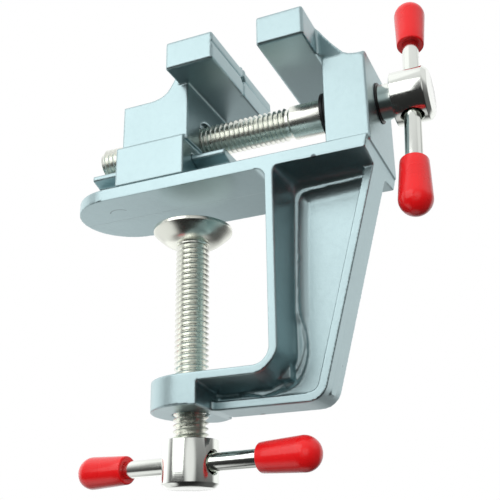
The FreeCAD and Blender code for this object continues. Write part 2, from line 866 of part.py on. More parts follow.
def draw_cap(body, sign):
    """Dipped vinyl cap on one end of a bar: sleeve with a round end."""
    bore = size.bar_diameter / 2
    radius = size.cap_diameter / 2
    shoulder = size.cap_start + size.cap_length
    outline = [(bore, size.cap_start * sign), (radius, size.cap_start * sign)]
    for step in range(DOME_STEPS):
        rise = as_quantity(QUARTER_TURN * step / DOME_STEPS)
        outline.append((radius * cosine(rise), (shoulder + radius * sine(rise)) * sign))
    outline += [
        (ZERO, (shoulder + radius) * sign),
        (ZERO, size.bar_half_length * sign),
        (bore, size.bar_half_length * sign),
    ]
    sketch = new_sketch(body, "profile", "XZ_Plane")
    draw_outline(sketch, outline)
    turn(body, "turned", sketch, "V_Axis")


def make_handle(prefix, ends, place):
    """A handle bar with a cap on each end, all three placed the same way."""
    made = []
    for label, sign in (("handle_bar", 0), ("cap_" + ends[0], 1), ("cap_" + ends[1], -1)):
        body = new_body(prefix + "_" + label)
        if sign == 0:
            draw_bar(body)
        else:
            draw_cap(body, sign)
        place(body)
        made.append(body)
    return made


def place_on_vise_head(body):
    """The bar leans away from the upright with the screw, and has slid down."""
    drop = size.vise_bar_slip
    place_body(body, vise_bar_place, -drop * sine(size.vise_bar_turn),
               size.screw_height - drop * cosine(size.vise_bar_turn),
               Vector(-1, 0, 0), size.vise_bar_turn.number)


def place_on_clamp_head(body):
    """The bar lies level, a few degrees off the line of the bed."""
    turned = size.clamp_bar_turn
    slip = size.clamp_bar_slip
    place_body(body, slip * cosine(turned), -slip * sine(turned), clamp_bar_place,
               Vector(sine(turned).number, cosine(turned).number, 0), QUARTER_TURN)


bodies = [make_frame_casting(), make_movable_jaw(), make_vise_screw(), make_vise_screw_head()]
bodies += make_washers()
bodies += [make_clamp_screw(), make_clamp_screw_head(), make_clamp_pad()]
bodies += make_handle("vise", ("upper", "lower"), place_on_vise_head)
bodies += make_handle("clamp", ("right", "left"), place_on_clamp_head)
document.recompute()

for item in document.Objects:
    if "Invalid" in item.State or "Error" in item.State:
        raise RuntimeError(item.Label + " did not recompute")
for body in bodies:
    shape = body.Shape
    if shape.isNull() or not shape.isValid() or len(shape.Solids) != 1:
        raise RuntimeError(body.Label + " is not one sound solid")
for body in bodies:
    body.Shape.exportStep("parts/%s.step" % body.Label)
    print("%-18s %9.1f mm3" % (body.Label, body.Shape.Volume), body.Shape.BoundBox)
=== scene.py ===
import json
import math

import bmesh
import bpy
from mathutils import Matrix, Vector, kdtree


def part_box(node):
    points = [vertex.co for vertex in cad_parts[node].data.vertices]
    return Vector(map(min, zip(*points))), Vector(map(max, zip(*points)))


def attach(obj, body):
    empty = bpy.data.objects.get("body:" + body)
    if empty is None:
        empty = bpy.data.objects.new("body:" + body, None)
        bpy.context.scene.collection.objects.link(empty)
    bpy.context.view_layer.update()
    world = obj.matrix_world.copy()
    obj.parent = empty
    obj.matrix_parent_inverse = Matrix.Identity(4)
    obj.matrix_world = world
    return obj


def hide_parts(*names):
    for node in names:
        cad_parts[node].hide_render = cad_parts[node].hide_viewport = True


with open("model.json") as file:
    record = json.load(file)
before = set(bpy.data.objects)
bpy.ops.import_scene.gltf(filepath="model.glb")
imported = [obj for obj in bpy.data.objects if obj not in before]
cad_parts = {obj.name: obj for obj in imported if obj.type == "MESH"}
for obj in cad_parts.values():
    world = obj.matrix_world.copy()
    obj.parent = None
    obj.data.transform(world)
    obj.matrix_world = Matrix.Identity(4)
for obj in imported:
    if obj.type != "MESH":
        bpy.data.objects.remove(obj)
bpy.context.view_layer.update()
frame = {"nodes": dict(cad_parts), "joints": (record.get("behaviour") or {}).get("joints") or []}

mm = 0.001               # pieces are modelled in millimetres and kept in metres
weld = 0.002             # points of a lathe-made piece that lie closer than this are one
scene = bpy.context.scene
joints = {joint["name"]: joint for joint in frame["joints"]}


# helpers for meshes

def boxOf(node):
    low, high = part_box(node)
    return low / mm, high / mm


def clampShare(value):
    return min(max(value, 0.0), 1.0)


def makeObject(name, bm, place=Matrix()):
    bm.transform(Matrix.Scale(mm, 4) @ place)
    mesh = bpy.data.meshes.new(name)
    bm.to_mesh(mesh)
    bm.free()
    obj = bpy.data.objects.new(name, mesh)
    scene.collection.objects.link(obj)
    return obj


def shadeSmooth(obj, limit=35):
    for face in obj.data.polygons:
        face.use_smooth = True
    obj.data.set_sharp_from_angle(angle=math.radians(limit))


def applyModifiers(obj):
    graph = bpy.context.evaluated_depsgraph_get()
    mesh = bpy.data.meshes.new_from_object(obj.evaluated_get(graph))
    obj.modifiers.clear()
    obj.data = mesh


def spinProfile(points, steps=96):
    # (along, away) pairs spun about the X axis; a closed ring repeats its first point
    bm = bmesh.new()
    verts = [bm.verts.new((along, away, 0)) for along, away in points]
    edges = [bm.edges.new(pair) for pair in zip(verts, verts[1:])]
    bmesh.ops.spin(bm, geom=verts + edges, cent=(0, 0, 0), axis=(1, 0, 0), angle=math.tau,
                   steps=steps, use_merge=True)
    bmesh.ops.remove_doubles(bm, verts=bm.verts[:], dist=weld)
    bmesh.ops.recalc_face_normals(bm, faces=bm.faces[:])
    return bm


def bevelSharp(bm, width, segments=3, limit=30):
    sharp = [edge for edge in bm.edges
             if len(edge.link_faces) == 2 and edge.calc_face_angle() > math.radians(limit)]
    bmesh.ops.bevel(bm, geom=sharp, offset=width, offset_type="OFFSET", affect="EDGES",
                    segments=segments, profile=0.5, material=-1, clamp_overlap=True)


def arcPoints(centre, radius, start, stop, count):
    # points of an arc in a profile, angles in degrees from the along direction
    step = (stop - start) / (count - 1)
    angles = [math.radians(start + step * index) for index in range(count)]
    return [(centre[0] + radius * math.cos(a), centre[1] + radius * math.sin(a)) for a in angles]


def joinInto(bm, other):
    mesh = bpy.data.meshes.new("part")
    other.to_mesh(mesh)
    other.free()
    bm.from_mesh(mesh)
    bpy.data.meshes.remove(mesh)


def alongAxis(point, direction):
    # turns the X axis of a lathe-made piece to a direction and puts its origin at a point
    turned = Vector(direction).to_track_quat("X", "Z").to_matrix().to_4x4()
    return Matrix.Translation(point) @ turned


def cutAway(obj, cutter):
    boolean = obj.modifiers.new("cut", "BOOLEAN")
    boolean.operation = "DIFFERENCE"
    boolean.solver = "EXACT"
    boolean.object = cutter
    applyModifiers(obj)
    bpy.data.objects.remove(cutter)


def finishPiece(obj, body, material, nodes=()):
    obj.data.materials.clear()
    obj.data.materials.append(material)
    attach(obj, body)
    if nodes:
        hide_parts(*nodes)


# shader groups that several finishes share

def newGroup(name, inputs, outputs):
    group = bpy.data.node_groups.new(name, "ShaderNodeTree")
    for label, kind, value in inputs:
        socket = group.interface.new_socket(label, in_out="INPUT", socket_type=kind)
        if value is not None:
            socket.default_value = value
    for label, kind in outputs:
        group.interface.new_socket(label, in_out="OUTPUT", socket_type=kind)
    return group, group.nodes.new("NodeGroupInput"), group.nodes.new("NodeGroupOutput")


def mathNode(tree, operation, first, second=None, clamp=False):
    node = tree.nodes.new("ShaderNodeMath")
    node.operation = operation
    node.use_clamp = clamp
    for index, value in enumerate((first, second)):
        if value is None:
            continue
        if isinstance(value, (int, float)):
            node.inputs[index].default_value = value
        else:
            tree.links.new(value, node.inputs[index])
    return node.outputs[0]


def weightedSum(tree, parts):
    # adds up outputs, each times its own share
    total = None
    for value, share in parts:
        part = mathNode(tree, "MULTIPLY", value, share)
        total = part if total is None else mathNode(tree, "ADD", total, part)
    return total


def spreadNode(tree, factor, low, high):
    # takes a factor from 0 to 1 to a value from low to high
    return mathNode(tree, "ADD", mathNode(tree, "MULTIPLY", factor, high - low), low)


def rampNode(tree, factor, stops):
    node = tree.nodes.new("ShaderNodeValToRGB")
    ramp = node.color_ramp
    while len(ramp.elements) < len(stops):
        ramp.elements.new(0.5)
    for element, (place, level) in zip(ramp.elements, stops):
        element.position = place
        element.color = (level, level, level, 1) if isinstance(level, (int, float)) else (*level, 1)
    tree.links.new(factor, node.inputs[0])
    return node.outputs[0]


def noiseNode(tree, vector, scale, detail=2, roughness=0.5):
    node = tree.nodes.new("ShaderNodeTexNoise")
    node.inputs["Scale"].default_value = scale
    node.inputs["Detail"].default_value = detail
    node.inputs["Roughness"].default_value = roughness
    tree.links.new(vector, node.inputs["Vector"])
    return node.outputs["Fac"]


def mixColour(tree, factor, first, second):
    node = tree.nodes.new("ShaderNodeMix")
    node.data_type = "RGBA"
    for socket, value in ((node.inputs[0], factor), (node.inputs[6], first), (node.inputs[7], second)):
        if isinstance(value, (int, float)):
            socket.default_value = value
        elif isinstance(value, tuple):
            socket.default_value = (*value, 1)
        else:
            tree.links.new(value, socket)
    return node.outputs[2]


speckSettings = {
    "leastSize": 0.4,
    "sharpness": 14.0,       # of a speck's edge
}


def buildSpecks():
    # small round pits, in only some of the cells
    group, entry, leave = newGroup(
        "specks",
        [("Vector", "NodeSocketVector", None), ("Scale", "NodeSocketFloat", 400.0),
         ("Share", "NodeSocketFloat", 0.05), ("Size", "NodeSocketFloat", 0.2)],
        [("Mask", "NodeSocketFloat")])
    cells = group.nodes.new("ShaderNodeTexVoronoi")
    group.links.new(entry.outputs["Vector"], cells.inputs["Vector"])
    group.links.new(entry.outputs["Scale"], cells.inputs["Scale"])
    split = group.nodes.new("ShaderNodeSeparateColor")
    group.links.new(cells.outputs["Color"], split.inputs[0])
    chosen = mathNode(group, "LESS_THAN", split.outputs[0], entry.outputs["Share"])
    varied = mathNode(group, "ADD", split.outputs[1], speckSettings["leastSize"])
    size = mathNode(group, "MULTIPLY", entry.outputs["Size"], varied)
    edge = mathNode(group, "SUBTRACT", size, cells.outputs["Distance"])
    soft = mathNode(group, "MULTIPLY", edge, speckSettings["sharpness"], clamp=True)
    group.links.new(mathNode(group, "MULTIPLY", chosen, soft), leave.inputs["Mask"])
    return group


def buildRings():
    # fine turning marks round a lathe-made piece, from the distance along its axis
    group, entry, leave = newGroup(
        "turningMarks",
        [("Along", "NodeSocketFloat", 0.0), ("Scale", "NodeSocketFloat", 6000.0)],
        [("Height", "NodeSocketFloat")])
    place = group.nodes.new("ShaderNodeCombineXYZ")
    group.links.new(entry.outputs["Along"], place.inputs[0])
    wide = group.nodes.new("ShaderNodeTexNoise")
    wide.inputs["Detail"].default_value = 3
    group.links.new(place.outputs[0], wide.inputs["Vector"])
    group.links.new(entry.outputs["Scale"], wide.inputs["Scale"])
    group.links.new(wide.outputs["Fac"], leave.inputs["Height"])
    return group


def placeGroup(tree, group, **values):
    node = tree.nodes.new("ShaderNodeGroup")
    node.node_tree = group
    for label, value in values.items():
        if isinstance(value, (int, float)):
            node.inputs[label].default_value = value
        else:
            tree.links.new(value, node.inputs[label])
    return node


def addBump(tree, height, strength, distance):
    node = tree.nodes.new("ShaderNodeBump")
    node.inputs["Strength"].default_value = strength
    node.inputs["Distance"].default_value = distance
    tree.links.new(height, node.inputs["Height"])
    return node.outputs["Normal"]


def newMaterial(name):
    material = bpy.data.materials.new(name)
    material.use_nodes = True
    tree = material.node_tree
    place = tree.nodes.new("ShaderNodeTexCoord").outputs["Object"]
    return material, tree, tree.nodes["Principled BSDF"], place


specks = buildSpecks()
turningMarks = buildRings()

castingFinish = {
    "silver": (0.44, 0.57, 0.59),
    # lighter colour painted along the parting line, a painted highlight
    "edge": (0.56, 0.68, 0.70),
    "hollow": (0.34, 0.45, 0.48),
    "metallic": 1.0,
    "roughness": (0.30, 0.44),
    # dark of the pits, and the painted shade on the pin mark's crescent
    "pitAndShadeDark": (0.10, 0.12, 0.13),
    # scales of the noises: slow clouds, paint flakes, orange peel and the mottle of the cast skin
    "cloud": 55.0,
    "flake": 3600.0,
    "peel": 900.0,
    "mottle": 620.0,
    "pits": {"Scale": 260.0, "Share": 0.045, "Size": 0.15},
    "cloudRange": [(0.35, 0.0), (0.65, 1.0)],
    "cloudShade": 0.96,
    "mottleShade": [(0.25, 0.16), (0.52, 0.0)],
    # strength of the painted shade on the pin mark's crescent
    "crescentPaintedShade": 0.8,
    # strength of the painted highlight along the parting line
    "partingLineHighlight": 0.5,
    # how much each of them raises the surface
    "heights": {"flake": 0.35, "peel": 0.5, "pits": -2.0, "mottle": 0.9, "line": 1.5},
    "bump": (0.35, 0.00006),
    # the parting line and a mark of the mould, both under the bed, in metres; the line is raised and also
    # painted lighter as a painted highlight, and the mark's crescent is painted shade
    "partingWidth": 0.00016,
    "underside": 0.00035,    # how near the bed's underside a point lies to carry them
    "mark": (-0.0180, -0.0035, 0.0),
    "markRadius": 0.0026,
    "markWidth": 0.00022,
    "markCut": 0.0013,       # the ring shows only from here on, as a crescent of painted shade
}


def buildBedMarks():
    # the fine line where the mould's halves met and the crescent of a mould pin, as masks: the line serves as
    # a height and as a painted highlight, the crescent only as painted shade
    use = castingFinish
    group, entry, leave = newGroup(
        "bedMarks", [("Vector", "NodeSocketVector", None)],
        [("Line", "NodeSocketFloat"), ("Crescent", "NodeSocketFloat")])
    split = group.nodes.new("ShaderNodeSeparateXYZ")
    group.links.new(entry.outputs["Vector"], split.inputs[0])
    across, up = split.outputs[1], split.outputs[2]
    near = mathNode(group, "DIVIDE", mathNode(group, "ABSOLUTE", across), use["partingWidth"])
    flat = mathNode(group, "LESS_THAN", mathNode(group, "ABSOLUTE", up), use["underside"])
    line = mathNode(group, "SUBTRACT", 1.0, near, clamp=True)
    group.links.new(mathNode(group, "MULTIPLY", line, flat), leave.inputs["Line"])
    away = group.nodes.new("ShaderNodeVectorMath")
    away.operation = "DISTANCE"
    away.inputs[1].default_value = use["mark"]
    group.links.new(entry.outputs["Vector"], away.inputs[0])
    ring = mathNode(group, "ABSOLUTE", mathNode(group, "SUBTRACT", away.outputs["Value"], use["markRadius"]))
    thin = mathNode(group, "SUBTRACT", 1.0, mathNode(group, "DIVIDE", ring, use["markWidth"]), clamp=True)
    side = mathNode(group, "LESS_THAN", across, use["mark"][1] - use["markCut"])
    crescent = mathNode(group, "MULTIPLY", mathNode(group, "MULTIPLY", thin, side), flat)
    group.links.new(crescent, leave.inputs["Crescent"])
    return group


bedMarks = buildBedMarks()


def makeCastingPaint():
    material, tree, shader, place = newMaterial("satinSilverPaint")
    use = castingFinish
    cloud = noiseNode(tree, place, use["cloud"], 3)
    flake = noiseNode(tree, place, use["flake"], 1)
    peel = noiseNode(tree, place, use["peel"], 2)
    mottle = noiseNode(tree, place, use["mottle"], 3, 0.6)
    pits = placeGroup(tree, specks, Vector=place, **use["pits"]).outputs["Mask"]
    marks = placeGroup(tree, bedMarks, Vector=place)
    crescent, line = marks.outputs["Crescent"], marks.outputs["Line"]

    shade = mixColour(tree, rampNode(tree, cloud, use["cloudRange"]),
                      tuple(c * use["cloudShade"] for c in use["silver"]), use["silver"])
    # pits are darkened, the pin mark's crescent is painted shade, the parting line is painted lighter as a
    # painted highlight over its real bump, and the mottle tints at random
    for factor, colour in ((pits, "pitAndShadeDark"),
                           (mathNode(tree, "MULTIPLY", crescent, use["crescentPaintedShade"]), "pitAndShadeDark"),
                           (mathNode(tree, "MULTIPLY", line, use["partingLineHighlight"]), "edge"),
                           (rampNode(tree, mottle, use["mottleShade"]), "hollow")):
        shade = mixColour(tree, factor, shade, use[colour])
    tree.links.new(shade, shader.inputs["Base Color"])

    tree.links.new(spreadNode(tree, flake, *use["roughness"]), shader.inputs["Roughness"])
    shader.inputs["Metallic"].default_value = use["metallic"]
    sources = {"flake": flake, "peel": peel, "pits": pits, "mottle": mottle, "line": line}
    height = weightedSum(tree, [(sources[label], share) for label, share in use["heights"].items()])
    tree.links.new(addBump(tree, height, *use["bump"]), shader.inputs["Normal"])
    return material


platingFinish = {
    "metal": (0.87, 0.90, 0.85),
    "stain": (0.36, 0.38, 0.34),
    "roughness": (0.08, 0.20),
    "rings": 5200.0,
    "bump": 0.25,
}
threadFinish = {
    "metal": (0.89, 0.91, 0.84),
    "stain": (0.30, 0.31, 0.27),
    "roughness": (0.20, 0.36),
    "rings": 2600.0,
    "bump": 0.4,
}
padFinish = {
    "metal": (0.84, 0.86, 0.78),
    "stain": (0.50, 0.51, 0.45),
    "roughness": (0.20, 0.30),
    "rings": 4200.0,
    "bump": 0.3,
}
platingMarks = {
    "smear": 420.0,
    "smearHeight": 0.6,
    "dots": {"Scale": 900.0, "Share": 0.06, "Size": 0.16},
    "depth": 0.00002,
}
vinylFinish = {
    "red": (0.88, 0.012, 0.014),
    "deep": (0.72, 0.007, 0.009),
    "roughness": (0.22, 0.34),
    "cloud": 160.0,
    "ripple": 420.0,
    "specular": 0.3,
    "coat": 0.4,
    "coatRoughness": 0.07,
    "bump": (0.3, 0.00015),
}
darkFinish = {
    "grain": 2400.0,
    "shade": 0.7,
    "rougher": 0.2,
    "bump": (0.3, 0.00003),
}


def makePlating(name, finish, axis):
    material, tree, shader, place = newMaterial(name)
    split = tree.nodes.new("ShaderNodeSeparateXYZ")
    tree.links.new(place, split.inputs[0])
    along = split.outputs["XYZ".index(axis)]
    rings = placeGroup(tree, turningMarks, Along=along, Scale=finish["rings"])
    smear = noiseNode(tree, place, platingMarks["smear"], 3)
    dots = placeGroup(tree, specks, Vector=place, **platingMarks["dots"])
    shade = mixColour(tree, dots.outputs["Mask"], finish["metal"], finish["stain"])
    tree.links.new(shade, shader.inputs["Base Color"])
    tree.links.new(spreadNode(tree, smear, *finish["roughness"]), shader.inputs["Roughness"])
    shader.inputs["Metallic"].default_value = 1.0
    height = weightedSum(tree, [(rings.outputs["Height"], 1.0), (smear, platingMarks["smearHeight"])])
    tree.links.new(addBump(tree, height, finish["bump"], platingMarks["depth"]), shader.inputs["Normal"])
    return material


def makeVinyl():
    material, tree, shader, place = newMaterial("redVinyl")
    use = vinylFinish
    cloud = noiseNode(tree, place, use["cloud"], 3)
    ripple = noiseNode(tree, place, use["ripple"], 2)
    tree.links.new(mixColour(tree, cloud, use["deep"], use["red"]), shader.inputs["Base Color"])
    tree.links.new(spreadNode(tree, cloud, *use["roughness"]), shader.inputs["Roughness"])
    shader.inputs["Specular IOR Level"].default_value = use["specular"]
    shader.inputs["Coat Weight"].default_value = use["coat"]
    shader.inputs["Coat Roughness"].default_value = use["coatRoughness"]
    tree.links.new(addBump(tree, ripple, *use["bump"]), shader.inputs["Normal"])
    return material


def makeDark(name, colour, roughness, metallic):
    material, tree, shader, place = newMaterial(name)
    use = darkFinish
    grain = noiseNode(tree, place, use["grain"], 3)
    shade = mixColour(tree, grain, tuple(c * use["shade"] for c in colour), colour)
    tree.links.new(shade, shader.inputs["Base Color"])
    tree.links.new(spreadNode(tree, grain, roughness, roughness + use["rougher"]), shader.inputs["Roughness"])
    shader.inputs["Metallic"].default_value = metallic
    tree.links.new(addBump(tree, grain, *use["bump"]), shader.inputs["Normal"])
    return material


castingPaint = makeCastingPaint()
platingX = makePlating("brightNickelX", platingFinish, "X")
platingZ = makePlating("brightNickelZ", platingFinish, "Z")
rolledX = makePlating("rolledNickelX", threadFinish, "X")
rolledZ = makePlating("rolledNickelZ", threadFinish, "Z")
satinZ = makePlating("satinNickelZ", padFinish, "Z")
redVinyl = makeVinyl()
blackSteel = makeDark("blackSteel", (0.03, 0.03, 0.032), 0.3, 0.6)
blackRubber = makeDark("blackRubber", (0.016, 0.016, 0.017), 0.5, 0.0)
print("materials made")


# castings

castingSettings = {
    "weld": 0.001,
    "voxel": 0.235,      # size of the remesh, which also rounds the edges
    "smoothRounds": 4,
    "smoothFactor": 0.5,
    "mostTriangles": 195000,
    "sharpFrom": 60,     # degrees
}
pocketSettings = {
    "webFace": 1.5,          # distance of the web's faces from the middle plane
    "webCover": 0.15,        # how deep the relief stays under them where it shows nothing
    "halfBed": 12.0,
    "ledge": 0.7,            # narrow flat step round the pocket's floor
    "ledgeHeight": 1.5,      # over the web
    "ledgeBlend": 0.12,      # so near its line a point still counts as on the ledge
    "hollowHeight": 1.2,     # where the hollow starts, just inside the ledge
    "hollowWidth": 2.1,
    "hollowWider": 0.8,      # added to the width along the bed
    "hollowLow": 0.35,       # its width beside the bulge
    "lowHeight": 0.55,       # of the ledge beside the bulge
    "lowFrom": -31.0,        # the bulge starts here
    "lowOver": 4.0,          # and is full this much lower
    "wallsDownTo": -33.0,    # below this the walls are the solid's own
    "frontRadius": 1.5,      # of the pocket's upper corner at its mouth
    "footRadius": 2.65,      # and at its foot
    "flange": 25.3,          # x of the flange's edge at the mouth
    # the walls' feet, without the ledge: x at a height, z at an x, and how each leans
    "sideFoot": (27.25, -16.0, 0.03),
    "upperFoot": (-3.15, 34.0, 0.042),
    "upperCurve": (0.36, 0.64, 8),      # of the upper wall between its mouth and its foot
    "halvings": 9,           # to find a wall's reach
    "shy": 0.02,             # what the walls stay inside the casting's side faces
    "outerFoot": 46.05,      # the leaning outer face, at the underside of the bed
    "outerLean": 0.274,
    "outerShy": 0.04,
    # the ledge's inner edge, as x and z, from the boss round the corner and up to the bed's end
    "ledgeLine": [(8.0, -47.2), (14.0, -47.15), (20.0, -47.1), (23.4, -46.6), (25.65, -45.5),
                  (27.1, -43.2), (27.95, -40.6), (28.15, -37.2), (27.7, -34.3), (26.95, -32.3),
                  (26.82, -29.0), (27.0, -23.0), (27.25, -16.0), (27.45, -10.5), (27.6, -7.5),
                  (27.82, -5.1), (28.4, -3.72), (30.3, -3.34), (34.0, -3.18), (40.0, -2.93), (46.5, -2.65)],
    # grids that carry the relief, along the arm and up the pocket: from and to in x, bottom and top
    "grids": [(7.0, 24.5, -48.7, -43.5), (23.6, 46.05, -48.7, -0.02)],
    "step": 0.25,
}


def ledgeSamples():
    # the ledge's line as a smooth curve, cut into short steps
    curve = bpy.data.curves.new("ledge", "CURVE")
    curve.resolution_u = 24
    spline = curve.splines.new("NURBS")
    points = pocketSettings["ledgeLine"]
    spline.points.add(len(points) - 1)
    for point, (x, z) in zip(spline.points, points):
        point.co = (x, 0, z, 1)
    spline.order_u = 3
    spline.use_endpoint_u = True
    obj = bpy.data.objects.new("ledge", curve)
    mesh = bpy.data.meshes.new_from_object(obj)
    samples = [vert.co.copy() for vert in mesh.vertices]
    bpy.data.objects.remove(obj)
    bpy.data.curves.remove(curve)
    bpy.data.meshes.remove(mesh)
    return samples


def cornerDistance(across, down, radius):
    # how far inside a rounded corner a point lies, from its distances to the two sides
    if across < radius and down < radius:
        return radius - math.hypot(radius - across, radius - down)
    return min(across, down)


def wallReach(x, z):
    # how far out of the middle plane the pocket's wall stands at a spot, or nothing inside its foot
    use = pocketSettings
    sideX, sideAt, sideLean = use["sideFoot"]
    upperZ, upperAt, upperLean = use["upperFoot"]
    footX = sideX - use["ledge"] + (z - sideAt) * sideLean
    footZ = upperZ + use["ledge"] + (x - upperAt) * upperLean
    straight, curved, power = use["upperCurve"]

    def inside(share):
        left = use["flange"] + (footX - use["flange"]) * share
        upper = footZ * (straight * share + curved * share ** power)
        radius = use["frontRadius"] + (use["footRadius"] - use["frontRadius"]) * share
        return cornerDistance(x - left, upper - z, radius)

    if inside(1.0) > 0:
        return 0.0
    low, high = 0.0, 1.0
    for _ in range(use["halvings"]):
        middle = (low + high) / 2
        if inside(middle) > 0:
            low = middle
        else:
            high = middle
    foot = use["webFace"] + use["ledgeHeight"]
    return use["halfBed"] - use["shy"] - low * (use["halfBed"] - foot)


def ledgeReach(tree, samples, x, z):
    # height of the ledge and of the hollow that runs down from it to the web
    use = pocketSettings
    spot = Vector((x, 0, z))
    nearest, index, away = tree.find(spot)
    after = samples[min(index + 1, len(samples) - 1)]
    before = samples[max(index - 1, 0)]
    along = after - before
    side = along.x * (z - nearest.z) - along.z * (x - nearest.x)
    low = clampShare((use["lowFrom"] - z) / use["lowOver"])
    ledge = use["ledgeHeight"] + (use["lowHeight"] - use["ledgeHeight"]) * low
    if side > 0 or away < use["ledgeBlend"]:
        return use["webFace"] + ledge
    level = abs(along.x) / max(along.length, 1e-6)
    width = use["hollowWidth"] + use["hollowWider"] * level
    width += (use["hollowLow"] - width) * low
    part = away / width
    if part > 1:
        return use["webFace"] - use["webCover"]
    return use["webFace"] + ledge * use["hollowHeight"] / use["ledgeHeight"] * (1 - part) ** 2


def makeRelief(sign):
    # the moulded ledge, hollow and drafted walls of one pocket, as a solid that is fused to the casting
    use = pocketSettings
    samples = ledgeSamples()
    tree = kdtree.KDTree(len(samples))
    for index, sample in enumerate(samples):
        tree.insert(sample, index)
    tree.balance()
    bm = bmesh.new()
    for start, stop, bottom, top in use["grids"]:
        across, up = round((stop - start) / use["step"]), round((top - bottom) / use["step"])
        made = bmesh.ops.create_grid(bm, x_segments=across, y_segments=up, size=1)
        for vert in made["verts"]:
            share, z = (vert.co.x + 1) / 2, bottom + (top - bottom) * (vert.co.y + 1) / 2
            end = min(stop, use["outerFoot"] + use["outerLean"] * z - use["outerShy"])
            x = start + (end - start) * share
            reach = ledgeReach(tree, samples, x, z)
            if z > use["wallsDownTo"]:
                reach = max(reach, wallReach(x, z))
            vert.co = (x, sign * reach, z)
    raised = bmesh.ops.extrude_face_region(bm, geom=bm.faces[:], use_keep_orig=True)
    for item in raised["geom"]:
        if isinstance(item, bmesh.types.BMVert):
            item.co.y = 0
    bmesh.ops.recalc_face_normals(bm, faces=bm.faces[:])
    return bm


fillSettings = {
    # outlines fused to the castings as x, z and half of the width: the fillets behind the bars and the posts
    "fixedFillet": [(35.5, 34.4, 9.0), (36.5, 33.3, 9.16), (37.49, 31.59, 9.47), (38.48, 30.11, 9.79),
                    (39.45, 28.6, 10.1), (40.43, 27.28, 10.41), (41.39, 26.01, 10.71), (42.34, 24.78, 11.0),
                    (43.3, 24.3, 11.0), (43.3, 23.9, 11.0), (38.4, 23.9, 11.0), (37.6, 24.4, 9.5),
                    (36.9, 25.6, 9.1), (35.5, 27.5, 9.0)],
    "fixedPost": [(37.3, 2.0, 11.0), (37.3, 24.4, 11.0), (42.5, 24.4, 11.0), (44.2, 24.0, 11.0)]
                 + [(x, z, 11.0) for x, z in arcPoints((46.0, 22.5), 1.1, 80, 0, 6)] + [(47.1, 2.0, 11.0)],
    "slidingFillet": [(1.7, 31.4, 11.0), (0.9, 30.4, 11.0), (0.0, 28.83, 11.0), (-0.56, 27.85, 11.0),
                      (-1.16, 26.89, 11.0), (-1.93, 25.97, 11.0), (-3.12, 25.17, 11.0), (-4.6, 24.72, 11.0),
                      (-6.2, 24.52, 11.0), (-6.2, 24.0, 11.0), (1.7, 24.0, 11.0)],
    "slidingPost": [(-13.72, 6.0, 11.0), (-13.72, 24.5, 11.0), (0.0, 24.5, 11.0), (0.0, 6.0, 11.0)],
    # the grooves of the sliding jaw are narrower than in the solid
    "grooveHalf": 0.42,
    "grooveDepth": 0.42,
    "grooveFill": 1.25,
    "grooveLevel": 31.75,
    "grooveEnds": [(-17.9, -1.05), (1.05, 17.9)],
    "grooveHeights": [(27.4, 30.75), (32.75, 35.0)],
}
reshapeSettings = {
    "rimStart": 27.0,        # from here on the rim moves out
    "rimFull": 29.5,
    "rimShift": 0.15,
    "rimSlope": -0.0222,
    "rimMost": 1.0,
    "rimTop": 2.9,           # the post above this stays
    "armStart": 5.0,         # from here on the arm's foot moves down, clear of the clamp screw's head
    "armFull": 8.4,
    "armShift": -0.45,
    "armBelow": -46.0,
    "cornerCentre": (17.7, -37.6),
    "cornerRadius": 5.7,
    "cornerReach": 3.2,      # how far round that radius points move with it
    "cornerTighter": 2.1,    # what comes off the radius of the throat's corner
    "cornerThinner": 0.25,   # and off the flange round it
    "cornerFlange": 1.9,
    "near": 0.05,            # what still counts as on a line or an arc
}
cutSettings = {
    "bossCorner": (7.2, 12.0),
    "bossRadius": 8.0,
    "bossHeights": (-51.0, -45.3),
    "nose": (3.6, 12.02),            # the boss's round nose: its middle along the arm and its radius
    "noseHeights": (-46.5, -43.0),
    "beyond": 0.4,                   # what a cutter stands out of the casting
    "jawRing": (3.0, 4.4, 4.65),     # from and to along the screw, and its radius
}


def makePrism(points):
    # a solid between two mirrored outlines
    bm = bmesh.new()
    near = [bm.verts.new((x, -half, z)) for x, z, half in points]
    far = [bm.verts.new((x, half, z)) for x, z, half in points]
    bm.faces.new(near)
    bm.faces.new(far)
    for index in range(len(points)):
        after = (index + 1) % len(points)
        bm.faces.new((near[index], near[after], far[after], far[index]))
    bmesh.ops.recalc_face_normals(bm, faces=bm.faces[:])
    return bm


def makeColumn(outline, heights):
    # an upright solid over an outline of x and y
    low, high = heights
    bm = makePrism([(x, y, (high - low) / 2) for x, y in outline])
    bm.transform(Matrix.Translation((0, 0, (low + high) / 2)) @ Matrix.Rotation(math.radians(-90), 4, "X"))
    return bm


def makeGrooveFills():
    # fills the jaw's level and upright groove up to a narrower one
    use = fillSettings
    face = boxOf("movable_jaw")[1].x
    half, depth, fill = use["grooveHalf"], use["grooveDepth"], use["grooveFill"]
    outline = [(face - fill, -fill), (face, -fill), (face, -half), (face - depth, 0), (face, half),
               (face, fill), (face - fill, fill)]
    made = []
    for low, high in use["grooveEnds"]:
        bm = makePrism([(x, z + use["grooveLevel"], (high - low) / 2) for x, z in outline])
        bm.transform(Matrix.Translation((0, (low + high) / 2, 0)))
        made.append(bm)
    return made + [makeColumn(outline, heights) for heights in use["grooveHeights"]]


